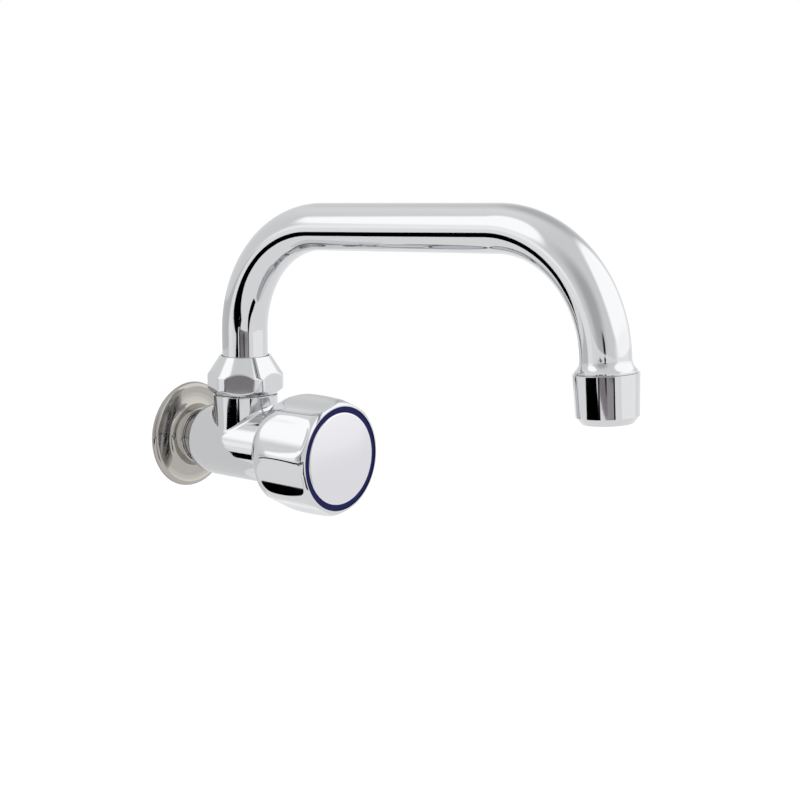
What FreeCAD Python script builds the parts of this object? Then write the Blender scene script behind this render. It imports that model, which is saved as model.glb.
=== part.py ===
import FreeCAD, Part
import math
import os
import re
import Sketcher
from FreeCAD import Placement, Rotation, Vector

# Swivel spout bib tap for a wall, in millimetres. The origin is where the inlet's axis meets the
# wall. The wall is the plane y = 0, the barrel runs straight out of it along -Y, and +Z is up. The
# spout stands on a riser that turns about a vertical axis, and points straight out at rest. The
# handle is shown shut.

# Driving dimensions. Radii are of finished surfaces, and "from the wall" is measured along -Y.
SIZES = {
    # inlet shank with its half inch pipe thread, and the cover flange that slides on it
    "inlet_radius": 10.48,
    "inlet_length": 10.5,
    "shank_radius": 11.0,
    "flange_radius": 23.5,
    "flange_back": 0.5,
    "flange_edge": 0.9,
    "flange_round": 2.2,
    "flange_land": 21.6,
    "flange_height": 2.9,
    "flange_valley": 15.6,
    "flange_foot": 13.6,
    "flange_collar": 12.7,
    "flange_top": 8.3,
    "flange_wall": 1.2,
    "flange_bow": 16.0,
    "flange_rise": 1.2,
    "flange_sweep": 3.0,
    "flange_lip": 0.8,
    "flange_gap": 0.15,
    # cast body: barrel, boss for the riser, waterway and valve seat
    "body_back": 13.6,
    "shoulder_round": 2.2,
    "shoulder_radius": 15.2,
    "barrel_start": 21.0,
    "barrel_radius": 15.8,
    "body_front": 54.6,
    "front_chamfer": 0.5,
    "riser_offset": 35.7,
    "boss_radius": 14.1,
    "boss_top": 21.9,
    "boss_fillet": 2.5,
    "spigot_radius": 13.12,
    "spigot_top": 29.6,
    "spigot_bore": 9.9,
    "spigot_floor": 13.6,
    "port_radius": 6.0,
    "inlet_bore": 6.0,
    "seat_face": 25.0,
    "seat_height": 1.6,
    "seat_lip": 1.5,
    "chamber_radius": 9.4,
    "chamber_end": 42.5,
    "head_thread": 10.5,
    "thread_gap": 0.1,
    # spout nut, turned from hexagon bar
    "nut_flats": 30.7,
    "nut_belt": 16.6,
    "nut_bottom": 22.3,
    "nut_height": 16.7,
    "nut_mouth": 10.35,
    "nut_crown": 11.2,
    "nut_crown_slope": 1.55,
    "nut_skirt": 13.8,
    "nut_skirt_slope": 0.88,
    "nut_shoulder": 33.6,
    "nut_turn": 4.7,
    # swivel joint of the spout
    "swivel_washer": 0.6,
    "swivel_washer_radius": 12.4,
    "collar_radius": 12.3,
    "collar_height": 1.8,
    "slide_gap": 0.06,
    "ferrule_gap": 0.07,
    "ferrule_bottom": 15.6,
    "ferrule_bore": 7.0,
    "ferrule_sleeve": 6.0,
    "ferrule_lead": 0.6,
    "braze_gap": 0.05,
    "spout_groove_floor": 8.1,
    "spout_groove_width": 2.4,
    "lower_groove": 17.6,
    "upper_groove": 23.0,
    "seal_gap": 0.02,
    # spout tube
    "tube_radius": 10.0,
    "tube_wall": 1.2,
    "bend_radius": 48.0,
    "bend_height": 49.2,
    "run_length": 92.4,
    "run_rise": 2.6,
    "outlet_lean": 3.4,
    "leg_length": 1.2,
    "flare_height": 5.0,
    "flare_radius": 12.0,
    "flare_edge": 0.9,
    "flare_seat": 1.2,
    "flare_step": 2.2,
    # outlet bush and aerator
    "bush_thread": 11.0,
    "bush_length": 8.0,
    "bush_bore": 7.6,
    "bush_sleeve": 9.0,
    "bush_lead": 0.5,
    "housing_gap": 0.05,
    "housing_top": 12.8,
    "housing_foot": 12.3,
    "housing_height": 19.0,
    "housing_brow": 0.6,
    "housing_round": 2.5,
    "housing_bore": 10.9,
    "housing_lip": 9.4,
    "housing_lip_height": 1.4,
    "outlet_washer": 1.6,
    "cartridge_gap": 0.15,
    "cartridge_wall": 1.2,
    "cartridge_plate": 1.4,
    "jet_radius": 0.8,
    "jet_ring": 6.2,
    "jet_count": 12,
    "screen_thick": 0.4,
    "screen_space": 0.6,
    "screen_pitch": 1.7,
    "screen_hole": 1.15,
    "screen_margin": 0.3,
    # headpart screwed into the barrel
    "head_nose": 40.0,
    "head_nose_radius": 9.2,
    "head_lead": 1.0,
    "head_undercut": 0.4,
    "head_washer": 1.0,
    "head_washer_radius": 12.8,
    "head_flats": 23.0,
    "head_flats_height": 7.0,
    "head_neck": 9.0,
    "head_end": 70.0,
    "guide_end": 47.9,
    "guide_gap": 0.08,
    "sleeve_chamber": 58.6,
    # spindle, which turns and doesn't rise, and what holds it
    "stem_radius": 5.0,
    "stem_gap": 0.05,
    "stem_relief": 0.3,
    "sleeve_radius": 7.6,
    "sleeve_start": 48.1,
    "sleeve_gap": 0.1,
    "screw_bore": 4.1,
    "screw_bore_end": 57.5,
    "stem_groove_floor": 3.5,
    "stem_groove_width": 1.9,
    "inner_groove": 61.0,
    "outer_groove": 65.5,
    "clip_washer": 0.6,
    "clip_washer_radius": 7.4,
    "clip_thick": 0.8,
    "clip_groove": 4.2,
    "clip_radius": 6.6,
    "clip_opening": 5.0,
    "square_start": 72.0,
    "square_side": 6.4,
    "square_end": 84.0,
    "tap_hole": 2.0,
    "tap_depth": 9.0,
    # valve that the spindle draws off its seat
    "washer_radius": 8.5,
    "washer_thick": 3.5,
    "plate_radius": 8.3,
    "plate_thick": 2.5,
    "slider_flats": 13.0,
    "slider_end": 43.0,
    "screw_end": 52.5,
    "screw_gap": 0.06,
    "stud_radius": 2.0,
    "stud_gap": 0.1,
    "stud_nut_flats": 7.0,
    "stud_nut_height": 2.2,
    "stud_spare": 0.6,
    # handle
    "knob_back": 55.1,
    "knob_back_radius": 16.2,
    "knob_swell": 62.0,
    "knob_swell_radius": 23.1,
    "knob_full": 71.5,
    "knob_radius": 25.5,
    "knob_brow": 87.0,
    "knob_brow_radius": 25.1,
    "knob_front": 91.3,
    "knob_front_radius": 22.7,
    "back_bow": 12.0,
    "side_bow": 24.0,
    "crown_bow": 120.0,
    "brow_bow": 5.2,
    "mouth_radius": 14.4,
    "mouth_depth": 1.2,
    "cavity_radius": 20.7,
    "cavity_start": 63.5,
    "cavity_end": 85.2,
    "scallop_start": 53.0,
    "scallop_floor": 22.9,
    "scallop_radius": 28.4,
    "scallop_end": 91.2,
    "scallop_end_round": 2.5,
    "scallop_count": 8,
    "scallop_angle": 106.5,
    "index_floor": 88.6,
    "index_gap": 0.05,
    "index_radius": 22.2,
    "index_face": 90.8,
    "socket_start": 72.6,
    "socket_radius": 9.6,
    "insert_radius": 7.0,
    "insert_start": 73.0,
    "insert_web": 84.2,
    "insert_end": 86.2,
    "press_gap": 0.03,
    "head_screw_radius": 3.9,
    "head_screw_height": 1.9,
    "head_screw_chamfer": 0.6,
    "screw_spare": 1.5,
    "screw_clearance": 0.3,
    "head_hole": 4.5,
    "cap_radius": 19.8,
    "cap_edge": 91.7,
    "cap_edge_round": 0.9,
    "cap_dome": 0.9,
    "cap_wall": 1.2,
}

# Sizes that follow from the driving ones.
FOLLOWS = {
    "tube_bottom": "spigot_top + swivel_washer + collar_height",
    "tube_bore": "tube_radius - tube_wall",
    "ferrule_radius": "spigot_bore - ferrule_gap",
    "nut_bore": "spigot_radius + thread_gap",
    "nut_top": "nut_bottom + nut_height",
    "reach": "bend_radius + run_length * cos(run_rise) + bend_radius * cos(outlet_lean)"
             " + (leg_length + flare_height) * sin(outlet_lean)",
    "drop": "bend_height + run_length * sin(run_rise) + bend_radius * sin(outlet_lean)"
            " - (leg_length + flare_height) * cos(outlet_lean)",
    "flare_spread": "flare_radius - tube_radius",
    "flare_bow": "(pow(flare_height - flare_edge; 2) + pow(flare_spread; 2)) / (2 * flare_spread)",
    "head_face": "body_front + head_washer",
    "head_radius": "head_thread - thread_gap",
    "stem_bore": "stem_radius + stem_gap",
    "chamber_bore": "sleeve_radius + sleeve_gap",
    "clip_start": "head_end + clip_washer",
    "plate_start": "seat_face + washer_thick",
    "slider_start": "plate_start + plate_thick",
    "cartridge_radius": "housing_bore - cartridge_gap",
    "cartridge_top": "-bush_length - outlet_washer",
    "lip_top": "housing_lip_height - housing_height",
    "screen_top": "lip_top + 2 * screen_thick + screen_space",
    "scallop_centre": "scallop_floor + scallop_radius",
}

DOC = FreeCAD.newDocument("bib_tap")
SHEET = DOC.addObject("Spreadsheet::Sheet", "spec")
for row, (name, size) in enumerate(SIZES.items(), 1):
    SHEET.set(f"A{row}", name)
    SHEET.set(f"B{row}", str(size))
    SHEET.setAlias(f"B{row}", name)
DOC.recompute()

LEFT, RIGHT = 1, -1
PIECES = []


def bound(text):
    """An expression on the sheet, from text that uses the sizes' bare names."""
    def swap(match):
        word = match[0]
        if word in FOLLOWS:
            return f"({bound(FOLLOWS[word])})"
        return f"spec.{word}" if word in SIZES else word
    return re.sub(r"[a-z_]+", swap, str(text))


def value(text):
    """The number that an expression gives now."""
    return float(SHEET.evalExpression(bound(text).replace("spec.", "")))


def bind(thing, path, text):
    thing.setExpression(path, bound(text))


def hold(sketch, geometry, corner, across, up):
    """Keep one point of the sketch at the place that two expressions give."""
    for kind, axis, text in (("DistanceX", -2, across), ("DistanceY", -1, up)):
        if str(text) == "0":
            sketch.addConstraint(Sketcher.Constraint("PointOnObject", geometry, corner, axis))
            continue
        rule = Sketcher.Constraint(kind, -1, 1, geometry, corner, value(text))
        bind(sketch, f"Constraints[{sketch.addConstraint(rule)}]", text)


def size_of(sketch, kind, geometry, text):
    rule = Sketcher.Constraint(kind, geometry, value(text))
    bind(sketch, f"Constraints[{sketch.addConstraint(rule)}]", text)


def arc_between(start, end, radius, way):
    """The shorter arc from start to end that turns left or right, and its corners in travel order."""
    chord = end - start
    middle = (start + end) * 0.5
    normal = Vector(-chord.y, chord.x, 0).normalize() * way
    centre = middle + normal * max(radius ** 2 - (chord.Length / 2) ** 2, 0) ** 0.5
    circle = Part.Circle(centre, Vector(0, 0, 1), radius)
    first, last = (start, end) if way == LEFT else (end, start)
    arc = Part.ArcOfCircle(circle, circle.parameter(first), circle.parameter(last))
    return arc, (1, 2) if way == LEFT else (2, 1)


def outline(sketch, corners):
    """A closed outline. A corner is (across, up), or (across, up, radius, way) where an arc leads to it."""
    places = [Vector(value(corner[0]), value(corner[1]), 0) for corner in corners]
    runs = []
    for i, corner in enumerate(corners):
        start, end = places[i - 1], places[i]
        if len(corner) == 2:
            runs.append((sketch.addGeometry(Part.LineSegment(start, end)), (1, 2)))
            continue
        arc, ends = arc_between(start, end, value(corner[2]), corner[3])
        runs.append((sketch.addGeometry(arc), ends))
    for i, (edge, ends) in enumerate(runs):
        before, before_ends = runs[i - 1]
        sketch.addConstraint(
            Sketcher.Constraint("Coincident", before, before_ends[1], edge, ends[0]))
    for (edge, ends), corner in zip(runs, corners):
        hold(sketch, edge, ends[1], corner[0], corner[1])
        if len(corner) == 4:
            size_of(sketch, "Radius", edge, corner[2])


def polygon(sketch, sides, flats):
    """A regular polygon about the origin, with one corner on the sketch's X axis."""
    radius = f"({flats}) / 2 / cos(180 / {sides})"
    rim = sketch.addGeometry(Part.Circle(Vector(), Vector(0, 0, 1), value(radius)), True)
    sketch.addConstraint(Sketcher.Constraint("Coincident", rim, 3, -1, 1))
    size_of(sketch, "Radius", rim, radius)
    spoke = Vector(value(radius), 0, 0)
    spots = [Rotation(Vector(0, 0, 1), 360 / sides * i).multVec(spoke) for i in range(sides)]
    edges = [
        sketch.addGeometry(Part.LineSegment(spots[i], spots[(i + 1) % sides]))
        for i in range(sides)
    ]
    for i, edge in enumerate(edges):
        sketch.addConstraint(Sketcher.Constraint("Coincident", edges[i - 1], 2, edge, 1))
        sketch.addConstraint(Sketcher.Constraint("PointOnObject", edge, 1, rim))
        if i:
            sketch.addConstraint(Sketcher.Constraint("Equal", edges[0], edge))
    sketch.addConstraint(Sketcher.Constraint("PointOnObject", edges[0], 1, -1))


def circle(sketch, radius, across="0"):
    ring = sketch.addGeometry(
        Part.Circle(Vector(value(across), 0, 0), Vector(0, 0, 1), value(radius)))
    hold(sketch, ring, 3, across, "0")
    size_of(sketch, "Radius", ring, radius)


def body_of(label, frame):
    """An empty body that stands in one of the tap's frames."""
    body = DOC.addObject("PartDesign::Body", label)
    body.Label = label
    frame(body)
    PIECES.append(body)
    return body


def sketch_in(body, plane, lift="0"):
    """A sketch on one of the body's own planes, moved along that plane's normal."""
    sketch = body.newObject("Sketcher::SketchObject", "sketch")
    support = next(part for part in body.Origin.OriginFeatures if part.Role == plane)
    sketch.AttachmentSupport = [(support, "")]
    sketch.MapMode = "FlatFace"
    if lift != "0":
        bind(sketch, ".AttachmentOffset.Base.z", lift)
    return sketch


def turned(body, corners, plane="XZ_Plane", lift="0", cut=False):
    """Turn an outline, radius across and length up, once round the sketch's upright axis."""
    sketch = sketch_in(body, plane, lift)
    outline(sketch, corners)
    kind = "PartDesign::Groove" if cut else "PartDesign::Revolution"
    feature = body.newObject(kind, "turned")
    feature.Profile = sketch
    feature.ReferenceAxis = (sketch, ["V_Axis"])
    feature.Angle = 360
    sketch.Visibility = False
    return feature


def raised(body, draw, start, length, cut=False):
    """Pad or pocket what draw puts in a sketch, from one height upwards."""
    sketch = sketch_in(body, "XY_Plane", start)
    draw(sketch)
    feature = body.newObject("PartDesign::Pocket" if cut else "PartDesign::Pad", "raised")
    feature.Profile = sketch
    bind(feature, "Length", length)
    feature.Reversed = cut
    sketch.Visibility = False
    return feature


def along_barrel(thing):
    """Local Z runs out of the wall along the barrel's axis, and local Y is up."""
    thing.Placement = Placement(Vector(), Rotation(Vector(1, 0, 0), 90))


def on_riser(thing):
    """Local Z is the riser's axis, and local X points out of the wall."""
    thing.Placement = Placement(Vector(), Rotation(Vector(0, 0, 1), -90))
    bind(thing, ".Placement.Base.y", "-riser_offset")


def at_outlet(thing):
    """Local Z runs back up the tube from the plane where the aerator meets it."""
    thing.Placement = Placement(Vector(), Rotation(Vector(-1, 0, 0), value("outlet_lean")))
    bind(thing, ".Placement.Base.y", "-riser_offset - reach")
    bind(thing, ".Placement.Base.z", "drop")
    bind(thing, ".Placement.Rotation.Angle", "outlet_lean")


def turned_piece(label, frame, corners):
    body = body_of(label, frame)
    turned(body, corners)
    return body


def seal_ring(label, frame, floor, wall, heights, width):
    """Round seal rings in grooves: each just fills the room from the groove's floor to the bore."""
    section = f"(({wall}) - ({floor})) / 2 - seal_gap"
    rings = DOC.addObject("Part::Compound", label)
    rings.Label = label
    links = []
    for height in heights:
        ring = DOC.addObject("Part::Torus", f"{label}_ring")
        bind(ring, "Radius1", f"({floor} + {wall}) / 2")
        bind(ring, "Radius2", section)
        bind(ring, ".Placement.Base.z", f"{height} + {width} / 2")
        links.append(ring)
    rings.Links = links
    frame(rings)
    PIECES.append(rings)


def make_tap_body():
    """Cast body: inlet shank, barrel, boss and spigot, with the waterway and seat cut in it."""
    body = body_of("tap_body", along_barrel)
    turned(body, [
        ("0", "-inlet_length"),
        ("inlet_radius", "-inlet_length"),
        ("inlet_radius", "0"),
        ("shank_radius", "0"),
        ("shank_radius", "body_back"),
        ("shoulder_radius - shoulder_round", "body_back"),
        ("shoulder_radius", "body_back + shoulder_round", "shoulder_round", LEFT),
        ("barrel_radius", "barrel_start"),
        ("barrel_radius", "body_front - front_chamfer"),
        ("barrel_radius - front_chamfer", "body_front"),
        ("0", "body_front"),
    ])
    boss = turned(body, [
        ("0", "0"),
        ("boss_radius", "0"),
        ("boss_radius", "boss_top"),
        ("spigot_radius", "boss_top"),
        ("spigot_radius", "spigot_top"),
        ("0", "spigot_top"),
    ], "XY_Plane", "riser_offset")
    DOC.recompute()
    fillet = body.newObject("PartDesign::Fillet", "boss_root")
    fillet.Base = (boss, root_edges(boss.Shape))
    bind(fillet, "Radius", "boss_fillet")
    turned(body, [
        ("0", "-inlet_length"),
        ("inlet_bore", "-inlet_length"),
        ("inlet_bore", "seat_face"),
        ("inlet_bore + seat_lip", "seat_face"),
        ("inlet_bore + seat_lip", "seat_face - seat_height"),
        ("chamber_radius", "seat_face - seat_height"),
        ("chamber_radius", "chamber_end"),
        ("head_thread", "chamber_end"),
        ("head_thread", "body_front"),
        ("0", "body_front"),
    ], cut=True)
    turned(body, [
        ("0", "0"),
        ("port_radius", "0"),
        ("port_radius", "spigot_floor"),
        ("spigot_bore", "spigot_floor"),
        ("spigot_bore", "spigot_top"),
        ("0", "spigot_top"),
    ], "XY_Plane", "riser_offset", cut=True)


def root_edges(shape):
    """Names of the edges where the boss leaves the barrel: neither straight nor plain circles."""
    names = []
    for i, edge in enumerate(shape.Edges, 1):
        if isinstance(edge.Curve, (Part.Line, Part.Circle)):
            continue
        names.append(f"Edge{i}")
    return names


def make_wall_flange():
    """Pressed cover: a rounded rim, a shallow valley and a collar that grips the shank."""
    turned_piece("wall_flange", along_barrel, [
        ("flange_radius - flange_back", "0"),
        ("flange_radius", "flange_edge"),
        ("flange_land", "flange_height", "flange_round", LEFT),
        ("flange_valley", "flange_height", "flange_bow", RIGHT),
        ("flange_foot", "flange_height + flange_rise", "flange_sweep", RIGHT),
        ("flange_collar", "flange_top - flange_lip"),
        ("flange_collar - flange_lip", "flange_top", "flange_lip", LEFT),
        ("shank_radius + flange_gap", "flange_top"),
        ("shank_radius + flange_gap", "flange_height"),
        ("flange_valley", "flange_height - flange_wall - flange_gap"),
        ("flange_land - flange_wall", "flange_height - flange_wall"),
        ("flange_radius - flange_wall", "0"),
    ])


def make_spout_nut():
    """Hexagon nut turned to a crown cone, a round belt that cuts its corners and a chamfered skirt."""
    body = body_of("spout_nut", on_riser)
    body.Placement.Rotation = Rotation(Vector(0, 0, 1), value("nut_turn"))
    bind(body, ".Placement.Rotation.Angle", "nut_turn")
    raised(body, lambda sketch: polygon(sketch, 6, "nut_flats"), "nut_bottom", "nut_height")
    turned(body, [
        ("nut_crown", "nut_top"),
        ("nut_belt", "nut_top - nut_crown_slope * (nut_belt - nut_crown)"),
        ("nut_belt", "nut_bottom + nut_skirt_slope * (nut_belt - nut_skirt)"),
        ("nut_skirt", "nut_bottom"),
        ("nut_flats", "nut_bottom"),
        ("nut_flats", "nut_top"),
    ], cut=True)
    turned(body, [
        ("0", "nut_bottom"),
        ("nut_bore", "nut_bottom"),
        ("nut_bore", "nut_shoulder"),
        ("nut_mouth", "nut_shoulder"),
        ("nut_mouth", "nut_top"),
        ("0", "nut_top"),
    ], cut=True)


def make_swivel_joint():
    """Nylon washer and ring that the spout's collar turns between, and the ferrule with its seals."""
    turned_piece("swivel_washer", on_riser, [
        ("spigot_bore", "spigot_top"),
        ("swivel_washer_radius", "spigot_top"),
        ("swivel_washer_radius", "spigot_top + swivel_washer"),
        ("spigot_bore", "spigot_top + swivel_washer"),
    ])
    turned_piece("slide_ring", on_riser, [
        ("tube_radius + slide_gap", "tube_bottom"),
        ("spigot_radius", "tube_bottom"),
        ("spigot_radius", "nut_shoulder"),
        ("tube_radius + slide_gap", "nut_shoulder"),
    ])
    ferrule = turned_piece("spout_ferrule", on_riser, [
        ("ferrule_bore", "ferrule_bottom"),
        ("ferrule_radius - ferrule_lead", "ferrule_bottom"),
        ("ferrule_radius", "ferrule_bottom + ferrule_lead"),
        ("ferrule_radius", "spigot_top + swivel_washer"),
        ("collar_radius", "spigot_top + swivel_washer"),
        ("collar_radius", "tube_bottom"),
        ("tube_bore - braze_gap", "tube_bottom"),
        ("tube_bore - braze_gap", "tube_bottom + ferrule_sleeve"),
        ("ferrule_bore", "tube_bottom + ferrule_sleeve"),
    ])
    grooves(ferrule, "spout_groove_floor", "spigot_bore", "spout_groove_width",
            ("lower_groove", "upper_groove"))
    seal_ring("spout_o_rings", on_riser, "spout_groove_floor", "spigot_bore",
              ("lower_groove", "upper_groove"), "spout_groove_width")


def grooves(body, floor, rim, width, heights):
    for height in heights:
        turned(body, [
            (floor, height),
            (rim, height),
            (rim, f"{height} + {width}"),
            (floor, f"{height} + {width}"),
        ], cut=True)


def make_spout_tube():
    """Bent tube: riser, first bend, rising run, second bend and a flared end above the aerator."""
    body = body_of("spout_tube", on_riser)
    spine = sketch_in(body, "XZ_Plane")
    draw_spine(spine)
    ring = sketch_in(body, "XY_Plane", "tube_bottom")
    circle(ring, "tube_radius")
    circle(ring, "tube_bore")
    pipe = body.newObject("PartDesign::AdditivePipe", "bent_tube")
    pipe.Profile = ring
    pipe.Spine = (spine, [f"Edge{i}" for i in range(1, spine.GeometryCount + 1)])
    flare = turned(body, [
        ("tube_bore", "flare_height"),
        ("tube_bore", "flare_seat + flare_step"),
        ("flare_radius - tube_wall", "flare_seat"),
        ("flare_radius - tube_wall", "0"),
        ("flare_radius", "0"),
        ("flare_radius", "flare_edge"),
        ("tube_radius", "flare_height", "flare_bow", RIGHT),
    ])
    sketch = flare.Profile[0]
    bind(sketch, ".AttachmentOffset.Base.x", "reach")
    bind(sketch, ".AttachmentOffset.Base.y", "drop")
    bind(sketch, ".AttachmentOffset.Rotation.Angle", "outlet_lean")


def draw_spine(sketch):
    """The tube's centre line: upright, arc, rising run, arc and leaning leg, each tangent to the next."""
    rise, lean = value("run_rise"), value("outlet_lean")
    radius = value("bend_radius")
    heading = Rotation(Vector(0, 0, 1), rise).multVec(Vector(1, 0, 0))
    down = Rotation(Vector(0, 0, 1), lean).multVec(Vector(0, -1, 0))
    foot = Vector(0, value("tube_bottom"), 0)
    bend = Vector(0, value("bend_height"), 0)
    first = bend + Vector(radius, 0, 0)
    run = first + Rotation(Vector(0, 0, 1), rise).multVec(Vector(0, radius, 0))
    turn = run + heading * value("run_length")
    second = turn - Rotation(Vector(0, 0, 1), rise).multVec(Vector(0, radius, 0))
    leg = second + Rotation(Vector(0, 0, 1), lean).multVec(Vector(radius, 0, 0))
    end = leg + down * value("leg_length")
    edges = [
        sketch.addGeometry(Part.LineSegment(foot, bend)),
        sketch.addGeometry(arc_between(bend, run, radius, RIGHT)[0]),
        sketch.addGeometry(Part.LineSegment(run, turn)),
        sketch.addGeometry(arc_between(turn, leg, radius, RIGHT)[0]),
        sketch.addGeometry(Part.LineSegment(leg, end)),
    ]
    ends = [(1, 2), (2, 1), (1, 2), (2, 1), (1, 2)]
    for i in range(1, 5):
        sketch.addConstraint(
            Sketcher.Constraint("Tangent", edges[i - 1], ends[i - 1][1], edges[i], ends[i][0]))
    hold(sketch, edges[0], 1, "0", "tube_bottom")
    hold(sketch, edges[0], 2, "0", "bend_height")
    size_of(sketch, "Radius", edges[1], "bend_radius")
    size_of(sketch, "Radius", edges[3], "bend_radius")
    size_of(sketch, "Distance", edges[2], "run_length")
    size_of(sketch, "Distance", edges[4], "leg_length")
    angles = (
        (Sketcher.Constraint("Angle", -1, 1, edges[2], 1, math.radians(rise)), "run_rise"),
        (Sketcher.Constraint("Angle", -1, 1, edges[4], 1, math.radians(lean - 90)), "outlet_lean - 90"),
    )
    for rule, text in angles:
        bind(sketch, f"Constraints[{sketch.addConstraint(rule)}]", text)


def make_outlet():
    """Threaded bush in the flared end, and the aerator that screws on it."""
    turned_piece("outlet_bush", at_outlet, [
        ("bush_bore", "-bush_length"),
        ("bush_thread - bush_lead", "-bush_length"),
        ("bush_thread", "bush_lead - bush_length"),
        ("bush_thread", "0"),
        ("flare_radius - tube_wall - braze_gap", "0"),
        ("flare_radius - tube_wall - braze_gap", "flare_seat - braze_gap"),
        ("tube_bore - braze_gap", "flare_seat + flare_step - braze_gap"),
        ("tube_bore - braze_gap", "bush_sleeve"),
        ("bush_bore", "bush_sleeve"),
    ])
    turned_piece("aerator_housing", at_outlet, [
        ("bush_thread + thread_gap", "-housing_gap"),
        ("housing_top - housing_brow", "-housing_gap"),
        ("housing_top", "-housing_gap - housing_brow", "housing_brow", RIGHT),
        ("housing_foot", "housing_round - housing_height"),
        ("housing_foot - housing_round", "-housing_height", "housing_round", RIGHT),
        ("housing_lip", "-housing_height"),
        ("housing_lip", "housing_lip_height - housing_height"),
        ("housing_bore", "housing_lip_height - housing_height"),
        ("housing_bore", "-bush_length - outlet_washer"),
        ("bush_thread + thread_gap", "-bush_length - outlet_washer"),
    ])
    turned_piece("aerator_washer", at_outlet, [
        ("bush_bore", "cartridge_top"),
        ("bush_thread", "cartridge_top"),
        ("bush_thread", "-bush_length"),
        ("bush_bore", "-bush_length"),
    ])
    cartridge = turned_piece("aerator_cartridge", at_outlet, [
        ("0", "cartridge_top - cartridge_plate"),
        ("cartridge_radius - cartridge_wall", "cartridge_top - cartridge_plate"),
        ("cartridge_radius - cartridge_wall", "screen_top"),
        ("cartridge_radius", "screen_top"),
        ("cartridge_radius", "cartridge_top"),
        ("0", "cartridge_top"),
    ])
    jet = raised(cartridge, lambda sketch: circle(sketch, "jet_radius", "jet_ring"),
                 "cartridge_top - cartridge_plate", "cartridge_plate", cut=True)
    polar(cartridge, jet, "jet_count")


def polar(body, feature, count):
    """Repeat a feature evenly about the body's Z axis."""
    pattern = body.newObject("PartDesign::PolarPattern", "pattern")
    pattern.Originals = [feature]
    axis = next(part for part in body.Origin.OriginFeatures if part.Role == "Z_Axis")
    pattern.Axis = (axis, [""])
    pattern.Angle = 360
    bind(pattern, "Occurrences", count)
    body.Tip = pattern
    return pattern


def make_screens():
    """Two square-mesh screens, one under the other, each cut from one sheet."""
    radius, pitch = value("cartridge_radius"), value("screen_pitch")
    hole, thick = value("screen_hole"), value("screen_thick")
    room = value("cartridge_radius - cartridge_wall - screen_margin")
    reach = int(room / pitch) + 1
    corner = hole / math.sqrt(2)
    spots = [
        Vector(i * pitch, j * pitch, 0)
        for i in range(-reach, reach + 1)
        for j in range(-reach, reach + 1)
        if Vector(i * pitch, j * pitch, 0).Length + corner < room
    ]
    disc = Part.Face(Part.Wire(Part.Circle(Vector(), Vector(0, 0, 1), radius).toShape()))
    square = Part.makePlane(hole, hole, Vector(-hole / 2, -hole / 2, 0))
    holes = []
    for spot in spots:
        cell = square.copy()
        cell.translate(spot)
        holes.append(cell)
    net = disc.cut(Part.makeCompound(holes)).Faces[0]
    sheets = []
    for height in (value("lip_top"), value("screen_top") - thick):
        sheet = net.extrude(Vector(0, 0, thick))
        sheet.translate(Vector(0, 0, height))
        sheets.append(sheet)
    screens = DOC.addObject("Part::Feature", "aerator_screens")
    screens.Label = "aerator_screens"
    screens.Shape = Part.makeCompound(sheets)
    at_outlet(screens)
    PIECES.append(screens)


def make_headpart():
    """Bonnet screwed into the barrel on a fibre washer, bored for the spindle, with a hexagon guide."""
    turned_piece("head_washer", along_barrel, [
        ("head_thread", "body_front"),
        ("head_washer_radius", "body_front"),
        ("head_washer_radius", "head_face"),
        ("head_thread", "head_face"),
    ])
    body = body_of("bonnet", along_barrel)
    turned(body, [
        ("0", "head_nose"),
        ("head_nose_radius", "head_nose"),
        ("head_nose_radius", "chamber_end + head_undercut"),
        ("head_radius", "chamber_end + head_undercut + head_lead"),
        ("head_radius", "head_face"),
        ("head_neck", "head_face"),
        ("head_neck", "head_end"),
        ("0", "head_end"),
    ])
    raised(body, lambda sketch: polygon(sketch, 6, "head_flats"), "head_face", "head_flats_height")
    turned(body, [
        ("0", "guide_end"),
        ("chamber_bore", "guide_end"),
        ("chamber_bore", "sleeve_chamber"),
        ("stem_bore", "sleeve_chamber"),
        ("stem_bore", "head_end"),
        ("0", "head_end"),
    ], cut=True)
    raised(body, lambda sketch: polygon(sketch, 6, "slider_flats + 2 * guide_gap"),
           "head_nose", "guide_end - head_nose", cut=True)


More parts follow.
